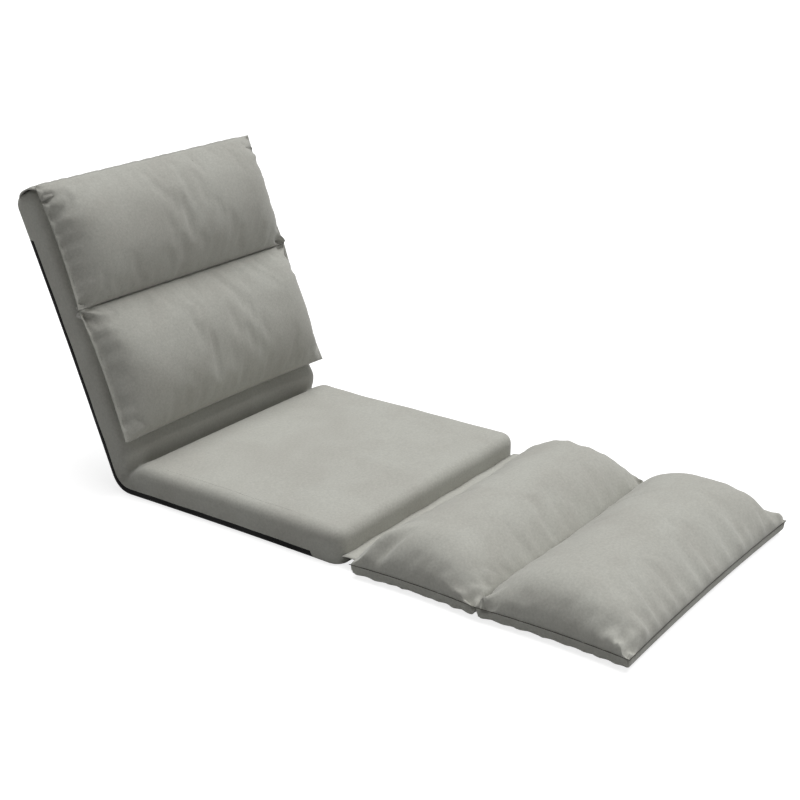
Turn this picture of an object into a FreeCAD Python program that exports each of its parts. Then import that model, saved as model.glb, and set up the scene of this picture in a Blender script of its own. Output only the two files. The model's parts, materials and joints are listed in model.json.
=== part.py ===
import FreeCAD, Part
import math
import os
from FreeCAD import Vector

# Folding floor chair: seat slab on the floor, ratcheting backrest with a hanging
# pillow, and a two-channel leg pad on a cloth flap. Millimetres, +Z up, the sitter
# looks along -Y. The pieces are drawn with the hinge axis above the origin, and
# then moved so that the origin lies on the floor under the middle of the seat.

# Driving dimensions of the whole chair
SLAB_WIDTH = 560.0
SEAT_LENGTH = 521.0
SEAT_THICKNESS = 65.0
SEAT_CROWN = 4.0
BACK_LENGTH = 567.0
BACK_THICKNESS = 62.0
BACK_CROWN = 3.0
HINGE_HEIGHT = 20.0
RECLINE_FROM_UPRIGHT = 22.5
SLAB_WAIST = 3.0
SIDE_EASE = 0.5
TOP_EDGE_RADIUS = 22.0
BOTTOM_EDGE_RADIUS = 8.0
PLAN_CORNER_RADIUS = 26.0

# Cloth, foam and their clearances
CLOTH = 2.0
LINING_GAP = 0.3
BASE_BAND = 14.0
SEAT_BASE_END = 455.0
BACK_BASE_END = 478.0
MITRE_GAP = 1.0
FOAM_END_GAP = 3.0
BASE_END_SLANT = 8.0

# Square tube frames
TUBE_SIZE = 16.0
TUBE_WALL = 1.2
TUBE_INSET = 30.0
TUBE_START = 45.0
TUBE_END_MARGIN = 28.0
CROSSBAR_SIZE = 12.0
SEAT_CROSSBARS = 3
BACK_CROSSBARS = 3
TUBE_GAP = 0.3

# Ratchet hinges
TOOTH_PITCH = 7.5
DETENTS = 13
SPARE_TEETH = 1
TOOTH_TIP_RADIUS = 16.8
TOOTH_DEPTH = 1.5
TOOTH_OVERRUN = 1.0
GAP_FACE_TOP = 2.2
GAP_FACE_FOOT = 1.0
GAP_ROOT_END = 0.4
GAP_SLIDE_TOP = -5.4
TOOTH_CLEARANCE = 0.2
ARM_PLATE = 3.0
CAM_PLATE = 1.0
CHEEK_PLATE = 2.0
PLATE_GAP = 0.15
CHEEK_RADIUS = 17.3
PIVOT_DIAMETER = 8.0
PIVOT_HEAD = 15.0
PIVOT_HEAD_HEIGHT = 2.0
RUNNING_CLEARANCE = 0.05
PAWL_PIN_ALONG = 18.0
PAWL_PIN_ACROSS = 15.0
PAWL_PIN_DIAMETER = 4.0
PAWL_EYE_RADIUS = 4.5
PAWL_LOBE_RADIUS = 6.5
HINGE_ROOM = 1.0
PAWL_LIFT = 8.0
CAM_TURN = 25.0
FOLLOWER_RADIUS = 1.5
FOLLOWER_ALONG = 19.2
FOLLOWER_ACROSS = -3.5
SHANK_HEIGHT = 11.0
SHANK_LENGTH = 36.0
SHANK_NECK = 3.0
BLEND_BELOW = 13.84
ARM_BLEND_ABOVE = 8.65
CHEEK_BLEND_ABOVE = 15.57
LOBE_BLEND = 5.85
PAWL_INNER_FACE = 15.0
PAWL_THROAT = 3.0
PAWL_TOE = 5.5
PAWL_TOE_LENGTH = 7.5
PAWL_BELLY = 9.0
CAM_DWELL = 14.0
CAM_REST_SPREAD = 60.0
ARM_PIN_DIAMETER = 4.0
SPRING_THICKNESS = 0.5
SPRING_WIDTH = 2.4
SPRING_GAP = 0.2
SPRING_BOW = 5.0
SPRING_BOW_HEIGHT = 5.5
SPRING_TAIL = 4.0
SPRING_TAIL_DROP = 4.0

# Pillow that hangs in front of the backrest
PILLOW_WIDTH = 580.0
PILLOW_BOTTOM = 73.0
PILLOW_CREASE = 330.0
PILLOW_SEAM = 62.0
PILLOW_FRONT_RISE = 52.0
PILLOW_GAP = 0.4
PILLOW_AXIS_ALONG = 8.0
PILLOW_AXIS_FRONT = 48.0
PILLOW_WRAP_DOWN = 52.0

# Leg pad with its flap
LEG_WIDTH = 586.0
FLAP_LENGTH = 30.0
FLAP_CLOTH = 1.2
FLAP_HEIGHT = 23.0
FLAP_AXIS_GAP = 0.9
LEG_REAR_CHANNEL = 250.0
LEG_FRONT_CHANNEL = 273.0
LEG_RISE = 70.0
CREASE_GAP = 0.3
CREASE_OVERLAP = 3.0
STUFFED_TAPER = 90.0
STUFFED_PULL = 6.0
SWELL_SHARE = 0.3
SWELL_HEIGHT = 0.72

# Values that follow from the ones above
FLAT_TO_REST = 90.0 - RECLINE_FROM_UPRIGHT
TUBE_BORE = TUBE_SIZE - 2 * TUBE_WALL
HINGE_X = SLAB_WIDTH / 2 - TUBE_INSET
AXIS_X = Vector(1, 0, 0)
HINGE_POINT = Vector(0, 0, HINGE_HEIGHT)


def edge(points):
    """A straight edge for two points, an arc for three."""
    if len(points) == 2:
        return Part.makeLine(points[0], points[1])
    return Part.Arc(points[0], points[1], points[2]).toShape()


def face_of(chain):
    """A face inside a closed chain of edges."""
    return Part.Face(Part.Wire([edge(points) for points in chain]))


def corner(centre, radius, start, end, place):
    """Three points of an arc in a plane, which place turns into space."""
    angles = (start, (start + end) / 2, end)
    return [
        place(
            centre[0] + radius * math.cos(math.radians(a)),
            centre[1] + radius * math.sin(math.radians(a)),
        )
        for a in angles
    ]


def cross_section(width, thickness, crown, inset, y):
    """Outline of a slab across its width: flat bottom, round edges, crowned top."""
    half = width / 2 - inset
    low = inset
    high = thickness - inset
    low_radius = BOTTOM_EDGE_RADIUS - inset
    top_radius = TOP_EDGE_RADIUS - inset

    def at(x, z):
        return Vector(x, y, z)

    right_low = corner((half - low_radius, low + low_radius), low_radius, -90, 0, at)
    right_top = corner((half - top_radius, high - top_radius), top_radius, 0, 90, at)
    left_top = corner((top_radius - half, high - top_radius), top_radius, 90, 180, at)
    left_low = corner((low_radius - half, low + low_radius), low_radius, 180, 270, at)
    return face_of(
        [
            [left_low[2], right_low[0]],
            right_low,
            [right_low[2], right_top[0]],
            right_top,
            [right_top[2], at(0, high + crown), left_top[0]],
            left_top,
            [left_top[2], left_low[0]],
            left_low,
        ]
    )


def side_section(length, thickness, crown, inset, end_gap, x):
    """Outline of a slab along its length: mitred at the hinge, rounded at the far end."""
    low = inset
    high = thickness - inset
    end = length - inset
    low_radius = BOTTOM_EDGE_RADIUS - inset
    top_radius = TOP_EDGE_RADIUS - inset

    def at(along, z):
        return Vector(x, -along, z)

    top_start = high + crown - HINGE_HEIGHT + end_gap
    low_corner = corner((end - low_radius, low + low_radius), low_radius, -90, 0, at)
    top_centre = (end - top_radius, high + crown - top_radius)
    top_corner = corner(top_centre, top_radius, 0, 90, at)
    return face_of(
        [
            [at(end_gap, low), low_corner[0]],
            low_corner,
            [low_corner[2], top_corner[0]],
            top_corner,
            [top_corner[2], at(top_start, high + crown)],
            [at(top_start, high + crown), at(end_gap, HINGE_HEIGHT)],
            [at(end_gap, HINGE_HEIGHT), at(end_gap, low)],
        ]
    )


def plan_section(length, width, inset):
    """Outline of a slab from above: waisted sides and round far corners."""
    half = width / 2 - inset
    end = length - inset
    radius = PLAN_CORNER_RADIUS - inset
    start = -SEAT_THICKNESS

    def at(x, along):
        return Vector(x, -along, 0)

    right = corner((half - radius, end - radius), radius, 0, 90, at)
    left = corner((radius - half, end - radius), radius, 90, 180, at)
    waist = half - SLAB_WAIST
    middle = (end - radius) / 2
    return face_of(
        [
            [at(-half, start), at(half, start)],
            [at(half, start), at(waist, middle), right[0]],
            right,
            [right[2], left[0]],
            left,
            [left[2], at(-waist, middle), at(-half, start)],
        ]
    )


def slab(length, thickness, crown, inset, end_gap):
    """A flat upholstered slab that runs from the hinge towards -Y."""
    wide = SLAB_WIDTH + 2 * SIDE_EASE
    across = cross_section(wide, thickness, crown, inset, SEAT_THICKNESS)
    along = side_section(length, thickness, crown, inset, end_gap, -SLAB_WIDTH)
    plan = plan_section(length, SLAB_WIDTH, inset)
    body = across.extrude(Vector(0, -length - 2 * SEAT_THICKNESS, 0))
    body = body.common(along.extrude(Vector(2 * SLAB_WIDTH, 0, 0)))
    return body.common(plan.extrude(Vector(0, 0, 2 * SEAT_THICKNESS)))


def base_region(end):
    """Space of the black base cloth: the bottom and a band up the sides."""
    low = -CLOTH
    profile = face_of(
        [
            [Vector(-SLAB_WIDTH, SEAT_THICKNESS, low), Vector(-SLAB_WIDTH, -end, low)],
            [
                Vector(-SLAB_WIDTH, -end, low),
                Vector(-SLAB_WIDTH, BASE_END_SLANT - end, BASE_BAND),
            ],
            [
                Vector(-SLAB_WIDTH, BASE_END_SLANT - end, BASE_BAND),
                Vector(-SLAB_WIDTH, SEAT_THICKNESS, BASE_BAND),
            ],
            [
                Vector(-SLAB_WIDTH, SEAT_THICKNESS, BASE_BAND),
                Vector(-SLAB_WIDTH, SEAT_THICKNESS, low),
            ],
        ]
    )
    return profile.extrude(Vector(2 * SLAB_WIDTH, 0, 0))


def square_bar(size, x, along, length, lengthwise):
    """A square bar at the height of the hinge axis, from a start point on."""
    low = HINGE_HEIGHT - size / 2
    if lengthwise:
        return Part.makeBox(size, length, size, Vector(x - size / 2, -along - length, low))
    return Part.makeBox(length, size, size, Vector(x, -along - size / 2, low))


def crossbar_places(length, count):
    """Distances of the crossbars from the hinge, evenly along the frame."""
    first = TUBE_START + TUBE_SIZE
    pitch = (length - TUBE_END_MARGIN - first) / count
    return [first + pitch * i for i in range(count)]


def frame_bars(length, count, size, bar_size, start):
    """The bars of a frame: two side runs, a far run and the crossbars between them."""
    end = length - TUBE_END_MARGIN
    run = end + size / 2 - start
    half = HINGE_X + size / 2
    bars = [square_bar(size, side * HINGE_X, start, run, True) for side in (-1, 1)]
    bars.append(square_bar(size, -half, end, 2 * half, False))
    for along in crossbar_places(length, count):
        bars.append(square_bar(bar_size, -HINGE_X, along, 2 * HINGE_X, False))
    return bars


def tube_frame(length, count):
    """A welded frame of square tube, open at the ends that take the hinge arms."""
    outside = frame_bars(length, count, TUBE_SIZE, CROSSBAR_SIZE, TUBE_START)
    bar_bore = CROSSBAR_SIZE - 2 * TUBE_WALL
    bores = frame_bars(length, count, TUBE_BORE, bar_bore, TUBE_START)
    frame = outside[0].fuse(outside[1:]).cut(bores).removeSplitter()
    return arm_pin_holes(frame, (-1, 1))


def frame_grooves(length, count):
    """The room that a foam slab leaves for the tubes it lies on."""
    width = TUBE_SIZE + 2 * TUBE_GAP
    return frame_bars(length, count, width, CROSSBAR_SIZE + 2 * TUBE_GAP, 0.0)


def arm_pin(side):
    """A flush pin along X through a tube end and the hinge arm in it."""
    along = TUBE_START + SHANK_LENGTH / 2
    start = Vector(side * HINGE_X - TUBE_SIZE / 2, -along, HINGE_HEIGHT)
    return Part.makeCylinder(ARM_PIN_DIAMETER / 2, TUBE_SIZE, start, AXIS_X)


def arm_pin_holes(shape, sides):
    """Cuts the pin holes of the tube ends on these sides."""
    return shape.cut([arm_pin(side) for side in sides])


def arm_pins():
    """The pins of a slab that hold its hinge arms in their tube ends."""
    return Part.makeCompound([arm_pin(side) for side in (-1, 1)])


def hinge_pockets(shape):
    """Cuts the room that the hinges and tube ends need out of a foam slab."""
    width = hinge_stack() + 2 * (PIVOT_HEAD_HEIGHT + HINGE_ROOM)
    reach = math.hypot(PAWL_PIN_ALONG, PAWL_PIN_ACROSS) + PAWL_LOBE_RADIUS + HINGE_ROOM
    depth = TUBE_START
    height = HINGE_HEIGHT + CHEEK_RADIUS + HINGE_ROOM
    pockets = []
    for side in (-1, 1):
        x = side * HINGE_X - width / 2
        pockets.append(Part.makeCylinder(reach, width, Vector(x, 0, HINGE_HEIGHT), AXIS_X))
        pockets.append(Part.makeBox(width, depth, height, Vector(x, -depth, 0)))
    return shape.cut(pockets)


def hinge_stack():
    """Full thickness of a hinge between the outsides of its cheek plates."""
    return ARM_PLATE + CAM_PLATE + 3 * PLATE_GAP + 2 * CHEEK_PLATE


def plate_starts(side):
    """Inner x of each layer of a hinge, counted from the middle of the chair."""
    layers = {}
    x = HINGE_X - hinge_stack() / 2
    layers["cheek_inner"] = x
    x += CHEEK_PLATE + PLATE_GAP
    layers["arm"] = x
    x += ARM_PLATE + PLATE_GAP
    layers["cam"] = x
    x += CAM_PLATE + PLATE_GAP
    layers["cheek_outer"] = x
    return layers


def plate(chain_face, side, layer, thickness):
    """Extrudes a face drawn at x = 0 to its layer, on the left (+1) or right (-1)."""
    start = plate_starts(side)[layer]
    shape = chain_face.extrude(Vector(thickness, 0, 0))
    shape.translate(Vector(start if side > 0 else -start - thickness, 0, 0))
    return shape


def disc(radius, along, height, thickness, side, layer):
    """A round disc in one layer, at a distance along -Y and above the hinge axis."""
    start = plate_starts(side)[layer]
    x = start if side > 0 else -start - thickness
    centre = Vector(x, -along, HINGE_HEIGHT + height)
    return Part.makeCylinder(radius, thickness, centre, AXIS_X)


def at_polar(radius, angle):
    """A point of the hinge plane: angle 0 is along -Y, 90 is up."""
    turn = math.radians(angle)
    return Vector(0, -radius * math.cos(turn), HINGE_HEIGHT + radius * math.sin(turn))


def polygon(points):
    """A face through a closed row of points."""
    return Part.Face(Part.makePolygon(points + [points[0]]))


def gap_outline(angle, way, clearance):
    """One tooth gap: a steep locking face, a small root and a long sliding face.

    The locking face lies towards growing angles where way is 1. A clearance draws
    the outline out of the gap and off its locking face, as the pawl's tooth needs.
    """
    root = TOOTH_TIP_RADIUS - TOOTH_DEPTH
    over = TOOTH_TIP_RADIUS + TOOTH_OVERRUN
    spots = [
        (over, GAP_FACE_TOP),
        (root, GAP_FACE_FOOT),
        (root, GAP_ROOT_END),
        (over, GAP_SLIDE_TOP),
    ]
    off_face = math.degrees(clearance / 2 / root)
    return [
        at_polar(radius + clearance, angle + way * (turn - off_face))
        for radius, turn in spots
    ]


def seat_arm(side):
    """Stamped arm of the seat: a toothed disc with a shank that enters the tube."""
    rim = disc(TOOTH_TIP_RADIUS, 0, 0, ARM_PLATE, side, "arm")
    half = SHANK_HEIGHT / 2
    end = TUBE_START + SHANK_LENGTH
    shank = polygon(
        [
            Vector(0, 0, HINGE_HEIGHT - BLEND_BELOW),
            Vector(0, SHANK_NECK - TUBE_START, HINGE_HEIGHT - half),
            Vector(0, -end, HINGE_HEIGHT - half),
            Vector(0, -end, HINGE_HEIGHT + half),
            Vector(0, SHANK_NECK - TUBE_START, HINGE_HEIGHT + half),
            Vector(0, 0, HINGE_HEIGHT + ARM_BLEND_ABOVE),
        ]
    )
    arm = rim.fuse(plate(shank, side, "arm", ARM_PLATE))
    first = 90.0 - SPARE_TEETH * TOOTH_PITCH
    for i in range(DETENTS + 2 * SPARE_TEETH):
        gap = polygon(gap_outline(first + i * TOOTH_PITCH, 1, 0.0))
        arm = arm.cut(plate(gap, side, "arm", ARM_PLATE))
    hole = PIVOT_DIAMETER / 2 + RUNNING_CLEARANCE
    arm = arm.cut(disc(hole, 0, 0, ARM_PLATE, side, "arm"))
    return arm_pin_holes(arm, (side,))


def cheek(side, layer):
    """Stamped cheek of the back: round nose, lobe for the pawl pin, shank in the tube."""
    half = SHANK_HEIGHT / 2
    end = TUBE_START + SHANK_LENGTH
    nose = disc(CHEEK_RADIUS, 0, 0, CHEEK_PLATE, side, layer)
    lobe = disc(PAWL_LOBE_RADIUS, PAWL_PIN_ALONG, PAWL_PIN_ACROSS, CHEEK_PLATE, side, layer)
    outline = polygon(
        [
            Vector(0, 0, HINGE_HEIGHT - BLEND_BELOW),
            Vector(0, SHANK_NECK - TUBE_START, HINGE_HEIGHT - half),
            Vector(0, -end, HINGE_HEIGHT - half),
            Vector(0, -end, HINGE_HEIGHT + half),
            Vector(0, SHANK_NECK - TUBE_START, HINGE_HEIGHT + half),
            Vector(0, -PAWL_PIN_ALONG - LOBE_BLEND, HINGE_HEIGHT + PAWL_PIN_ACROSS),
            Vector(0, -PAWL_PIN_ALONG, HINGE_HEIGHT + PAWL_PIN_ACROSS + LOBE_BLEND),
            Vector(0, 0, HINGE_HEIGHT + CHEEK_BLEND_ABOVE),
        ]
    )
    shape = nose.fuse(lobe).fuse(plate(outline, side, layer, CHEEK_PLATE))
    shape = shape.cut(disc(PIVOT_DIAMETER / 2, 0, 0, CHEEK_PLATE, side, layer))
    pin = disc(
        PAWL_PIN_DIAMETER / 2, PAWL_PIN_ALONG, PAWL_PIN_ACROSS, CHEEK_PLATE, side, layer
    )
    shape = shape.cut(pin)
    return arm_pin_holes(shape.removeSplitter(), (side,))


def through_pin(side, along, height, radius):
    """A round pin through a whole hinge, flush with the outsides of its cheeks."""
    start = HINGE_X - hinge_stack() / 2
    x = start if side > 0 else -start - hinge_stack()
    centre = Vector(x, -along, HINGE_HEIGHT + height)
    return Part.makeCylinder(radius, hinge_stack(), centre, AXIS_X)


def pivot(side):
    """Pivot rivet of a hinge, with a flat head on each cheek."""
    shape = through_pin(side, 0, 0, PIVOT_DIAMETER / 2)
    middle = side * HINGE_X
    for way in (-1, 1):
        face = Vector(middle + way * hinge_stack() / 2, 0, HINGE_HEIGHT)
        head = Part.makeCylinder(PIVOT_HEAD / 2, PIVOT_HEAD_HEIGHT, face, AXIS_X * way)
        shape = shape.fuse(head)
    return shape


def pawl(side):
    """Pawl: eye on its pin, arm over the disc, one tooth, and a round cam follower."""
    thickness = ARM_PLATE
    eye = disc(PAWL_EYE_RADIUS, PAWL_PIN_ALONG, PAWL_PIN_ACROSS, thickness, side, "arm")
    body = polygon(
        [
            Vector(0, -PAWL_INNER_FACE, HINGE_HEIGHT + PAWL_THROAT),
            Vector(0, -PAWL_INNER_FACE, HINGE_HEIGHT - PAWL_TOE),
            Vector(0, -PAWL_INNER_FACE - PAWL_TOE_LENGTH, HINGE_HEIGHT - PAWL_TOE),
            Vector(0, -PAWL_INNER_FACE - PAWL_BELLY, HINGE_HEIGHT),
            Vector(0, -PAWL_PIN_ALONG - PAWL_EYE_RADIUS, HINGE_HEIGHT + PAWL_PIN_ACROSS),
            Vector(0, -PAWL_PIN_ALONG + PAWL_EYE_RADIUS, HINGE_HEIGHT + PAWL_PIN_ACROSS),
        ]
    )
    shape = eye.fuse(plate(body, side, "arm", thickness))
    shape = shape.cut(disc(TOOTH_TIP_RADIUS + LINING_GAP, 0, 0, thickness, side, "arm"))
    tooth = polygon(gap_outline(0.0, -1, TOOTH_CLEARANCE))
    shape = shape.fuse(plate(tooth, side, "arm", thickness))
    follower = disc(
        FOLLOWER_RADIUS,
        FOLLOWER_ALONG,
        FOLLOWER_ACROSS,
        ARM_PLATE + PLATE_GAP + CAM_PLATE,
        side,
        "arm",
    )
    shape = shape.fuse(follower)
    hole = PAWL_PIN_DIAMETER / 2 + RUNNING_CLEARANCE
    return shape.cut(
        disc(hole, PAWL_PIN_ALONG, PAWL_PIN_ACROSS, thickness, side, "arm")
    )


def follower_at(turn):
    """Radius and angle of the cam follower when the cam has turned by an angle."""
    lift = math.radians(PAWL_LIFT * turn / CAM_TURN)
    along = FOLLOWER_ALONG - PAWL_PIN_ALONG
    across = FOLLOWER_ACROSS - PAWL_PIN_ACROSS
    x = PAWL_PIN_ALONG + along * math.cos(lift) - across * math.sin(lift)
    y = PAWL_PIN_ACROSS + along * math.sin(lift) + across * math.cos(lift)
    return math.hypot(x, y), math.degrees(math.atan2(y, x))


def release_cam(side):
    """Thin ring with a ramp that lifts the pawl as the ring turns under its follower."""
    gap = FOLLOWER_RADIUS + LINING_GAP
    low, start = follower_at(0.0)
    middle, centre = follower_at(CAM_TURN / 2)
    high, end = follower_at(CAM_TURN)
    ramp = [
        at_polar(low - gap, start),
        at_polar(middle - gap, centre - CAM_TURN / 2),
        at_polar(high - gap, end - CAM_TURN),
    ]
    dwell = end - CAM_TURN - CAM_DWELL
    top = [
        ramp[2],
        at_polar(high - gap, dwell + CAM_DWELL / 2),
        at_polar(high - gap, dwell),
    ]
    far_side = (dwell + start - 360) / 2
    rest = [
        at_polar(low - gap, dwell),
        at_polar(low - gap, far_side + CAM_REST_SPREAD),
        at_polar(low - gap, far_side),
    ]
    rest_again = [
        rest[2],
        at_polar(low - gap, far_side - CAM_REST_SPREAD),
        ramp[0],
    ]
    outline = face_of([ramp, top, [top[2], rest[0]], rest, rest_again])
    shape = plate(outline, side, "cam", CAM_PLATE)
    hole = PIVOT_DIAMETER / 2 + RUNNING_CLEARANCE
    return shape.cut(disc(hole, 0, 0, CAM_PLATE, side, "cam"))


def pawl_spring(side):
    """Leaf spring on the back of the pawl, which rides with it."""
    middle = PAWL_PIN_ALONG + PAWL_EYE_RADIUS + SPRING_GAP
    outer = [
        Vector(0, -middle, HINGE_HEIGHT + PAWL_PIN_ACROSS),
        Vector(0, -middle - SPRING_BOW, HINGE_HEIGHT + SPRING_BOW_HEIGHT),
        Vector(0, -middle - SPRING_TAIL, HINGE_HEIGHT - SPRING_TAIL_DROP),
    ]
    shift = Vector(0, -SPRING_THICKNESS, 0)
    leaf = face_of(
        [
            outer,
            [outer[2], outer[2] + shift],
            [outer[2] + shift, outer[1] + shift, outer[0] + shift],
            [outer[0] + shift, outer[0]],
        ]
    )
    return plate(leaf, side, "arm", SPRING_WIDTH)


def arcs_between(first, last, seam, up, down, at):
    """A lens of two arcs between two seams."""
    middle = (first + last) / 2
    start = at(first, seam)
    end = at(last, seam)
    return face_of(
        [[start, at(middle, seam + up), end], [end, at(middle, seam - down), start]]
    )


def tapered_ends(half, taper, seam, up, down, at):
    """A flat lens across the chair: level in the middle, round down to both ends."""
    chain = []
    for height, way in ((up, 1), (-down, -1)):
        for side in (-way, way):
            end = at(side * half, seam)
            swell = at(side * (half - SWELL_SHARE * taper), seam + SWELL_HEIGHT * height)
            level = at(side * (half - taper), seam + height)
            chain.append([end, swell, level] if side == -way else [level, swell, end])
        chain.insert(-1, [chain[-2][2], chain[-1][0]])
    return face_of(chain)


def pulled_plan(half, first, last, pull):
    """Outline from above with pointed corners and sides drawn in between them."""

    def at(x, along):
        return Vector(x, -along, -LEG_WIDTH)

    middle = (first + last) / 2
    corners = [at(-half, first), at(half, first), at(half, last), at(-half, last)]
    middles = [
        at(0, first + pull),
        at(half - pull, middle),
        at(0, last - pull),
        at(pull - half, middle),
    ]
    return face_of(
        [[corners[i], middles[i], corners[(i + 1) % 4]] for i in range(4)]
    )


def channel(form, inset):
    """A stuffed channel between two seams, full in the middle and thin at its edges."""
    start, end, width, seam, rise, drop = form
    half = width / 2 - 4 * inset
    first = start + 3 * inset
    last = end - 3 * inset
    up = rise - inset
    down = drop - inset
    along = arcs_between(first, last, seam, up, down, lambda u, z: Vector(-width, -u, z))
    body = along.extrude(Vector(2 * width, 0, 0))
    across = tapered_ends(half, STUFFED_TAPER, seam, up, down, lambda x, z: Vector(x, 0, z))
    body = body.common(across.extrude(Vector(0, -2 * end, 0)))
    plan = pulled_plan(half, first, last, STUFFED_PULL)
    return body.common(plan.extrude(Vector(0, 0, 2 * LEG_WIDTH)))


def stuffed(form):
    """The outside of a channel, the hollow in its cover and the fibre fill."""
    return channel(form, 0.0), channel(form, CLOTH), channel(form, CLOTH + LINING_GAP)


def to_back(shape):
    """Turns a shape built like the seat round to the rear and up to the rest recline."""
    turned = shape.copy()
    turned.rotate(Vector(0, 0, 0), Vector(0, 0, 1), 180)
    turned.rotate(HINGE_POINT, AXIS_X, FLAT_TO_REST)
    return turned


def upholstery(prefix, length, thickness, crown, crossbars, base_end, place):
    """Cover, base cloth, foam and frame of one slab, ready to place."""
    outside = slab(length, thickness, crown, 0.0, MITRE_GAP)
    hollow = slab(length, thickness, crown, CLOTH, -CLOTH)
    skin = outside.cut(hollow)
    base = skin.common(base_region(base_end))
    cover = skin.cut(base_region(base_end))
    filling = slab(length, thickness, crown, CLOTH + LINING_GAP, FOAM_END_GAP)
    split = HINGE_HEIGHT - TUBE_SIZE / 2 - TUBE_GAP
    under = Part.makeBox(
        2 * SLAB_WIDTH, 2 * length, split, Vector(-SLAB_WIDTH, -1.5 * length, 0)
    )
    foam = filling.cut([under] + frame_grooves(length, crossbars))
    return {
        prefix + "_cover": place(cover),
        prefix + "_base_cloth": place(base),
        prefix + "_foam": place(hinge_pockets(foam)),
        prefix + "_under_foam": place(hinge_pockets(filling.common(under))),
        prefix + "_frame": place(tube_frame(length, crossbars)),
    }


def stay(shape):
    """Leaves a shape of the seat where it is."""
    return shape


def hinge(side, name):
    """The plates, pawl, spring and cam of one ratchet hinge."""
    return {
        "hinge_seat_arm_" + name: seat_arm(side),
        "hinge_cheek_inner_" + name: to_back(cheek(-side, "cheek_inner")),
        "hinge_cheek_outer_" + name: to_back(cheek(-side, "cheek_outer")),
        "hinge_pawl_" + name: to_back(pawl(-side)),
        "hinge_pawl_spring_" + name: to_back(pawl_spring(-side)),
        "hinge_release_cam_" + name: to_back(release_cam(-side)),
    }


def hinge_fasteners():
    """Pins and pivots of both hinges, each kind as one group."""
    pin = (PAWL_PIN_ALONG, PAWL_PIN_ACROSS, PAWL_PIN_DIAMETER / 2)
    pawl_pins = [through_pin(side, *pin) for side in (-1, 1)]
    return {
        "seat_arm_pins": arm_pins(),
        "back_arm_pins": to_back(arm_pins()),
        "hinge_pivots": to_back(Part.makeCompound([pivot(side) for side in (-1, 1)])),
        "hinge_pawl_pins": to_back(Part.makeCompound(pawl_pins)),
    }


def below_crease(gap):
    """The room below the pillow's crease, which ends a gap short of it."""
    start = Vector(-PILLOW_WIDTH, gap - PILLOW_CREASE, 0)
    return Part.makeBox(2 * PILLOW_WIDTH, PILLOW_CREASE, 2 * PILLOW_SEAM, start)


def pillow():
    """Two-channel pillow that lies against the front of the backrest."""
    back_face = BACK_THICKNESS - HINGE_HEIGHT + BACK_CROWN + PILLOW_GAP
    drop = PILLOW_SEAM - back_face
    overlap = CREASE_OVERLAP + STUFFED_PULL
    spans = (
        (PILLOW_BOTTOM, PILLOW_CREASE + overlap),
        (PILLOW_CREASE - overlap, BACK_LENGTH),
    )
    seam = HINGE_HEIGHT + PILLOW_SEAM
    forms = [
        (start, end, PILLOW_WIDTH, seam, PILLOW_FRONT_RISE, drop)
        for start, end in spans
    ]
    lower = stuffed(forms[0])
    upper = stuffed(forms[1])
    cover = lower[0].fuse(upper[0]).cut([lower[1], upper[1]])
    return {
        "pillow_cover": to_back(cover),
        "pillow_fill_lower": to_back(lower[2].common(below_crease(CREASE_GAP / 2))),
        "pillow_fill_upper": to_back(upper[2].cut(below_crease(-CREASE_GAP / 2))),
    }


def pillow_wrap():
    """Cloth that carries the pillow: from the rear of the backrest over its top edge."""
    inner = LINING_GAP
    outer = LINING_GAP + CLOTH
    low = 0.0
    high = BACK_THICKNESS + BACK_CROWN
    top = BACK_LENGTH
    lower = BOTTOM_EDGE_RADIUS
    upper = TOP_EDGE_RADIUS

    def at(along, z):
        return Vector(-PILLOW_WIDTH / 2, -along, z)

    def rim(offset):
        first = corner((top - lower, low + lower), lower + offset, -90, 0, at)
        second = corner((top - upper, high - upper), upper + offset, 0, 70, at)
        return first, second

    in_low, in_high = rim(inner)
    out_low, out_high = rim(outer)
    start = top - PILLOW_WRAP_DOWN
    face = face_of(
        [
            [at(start, low - inner), in_low[0]],
            in_low,
            [in_low[2], in_high[0]],
            in_high,
            [in_high[2], out_high[2]],
            list(reversed(out_high)),
            [out_high[0], out_low[2]],
            list(reversed(out_low)),
            [out_low[0], at(start, low - outer)],
            [at(start, low - outer), at(start, low - inner)],
        ]
    )
    return to_back(face.extrude(Vector(PILLOW_WIDTH, 0, 0)))


def leg_pad():
    """Cloth flap and the two stuffed channels of the leg pad, flat on the floor."""
    axis = SEAT_LENGTH + FLAP_AXIS_GAP
    rear = axis + FLAP_LENGTH
    crease = rear + LEG_REAR_CHANNEL
    front = crease + LEG_FRONT_CHANNEL
    spans = {
        "leg_rear": (rear, crease - CREASE_GAP),
        "leg_front": (crease + CREASE_GAP, front),
    }
    pieces = {}
    for name, (start, end) in spans.items():
        form = (start, end, LEG_WIDTH, FLAP_HEIGHT, LEG_RISE, FLAP_HEIGHT)
        outside, hollow, fill = stuffed(form)
        pieces[name + "_cover"] = outside.cut(hollow)
        pieces[name + "_fill"] = fill
    flap_width = SLAB_WIDTH - 2 * PLAN_CORNER_RADIUS
    flap = Part.makeBox(
        flap_width,
        FLAP_LENGTH + STUFFED_PULL,
        FLAP_CLOTH,
        Vector(-flap_width / 2, -rear - STUFFED_PULL, FLAP_HEIGHT - FLAP_CLOTH / 2),
    )
    pad_plan = pulled_plan(LEG_WIDTH / 2, rear - LINING_GAP, crease, STUFFED_PULL)
    flap = flap.cut(pad_plan.extrude(Vector(0, 0, 2 * LEG_WIDTH)))
    pieces["leg_flap"] = flap
    return pieces


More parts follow.
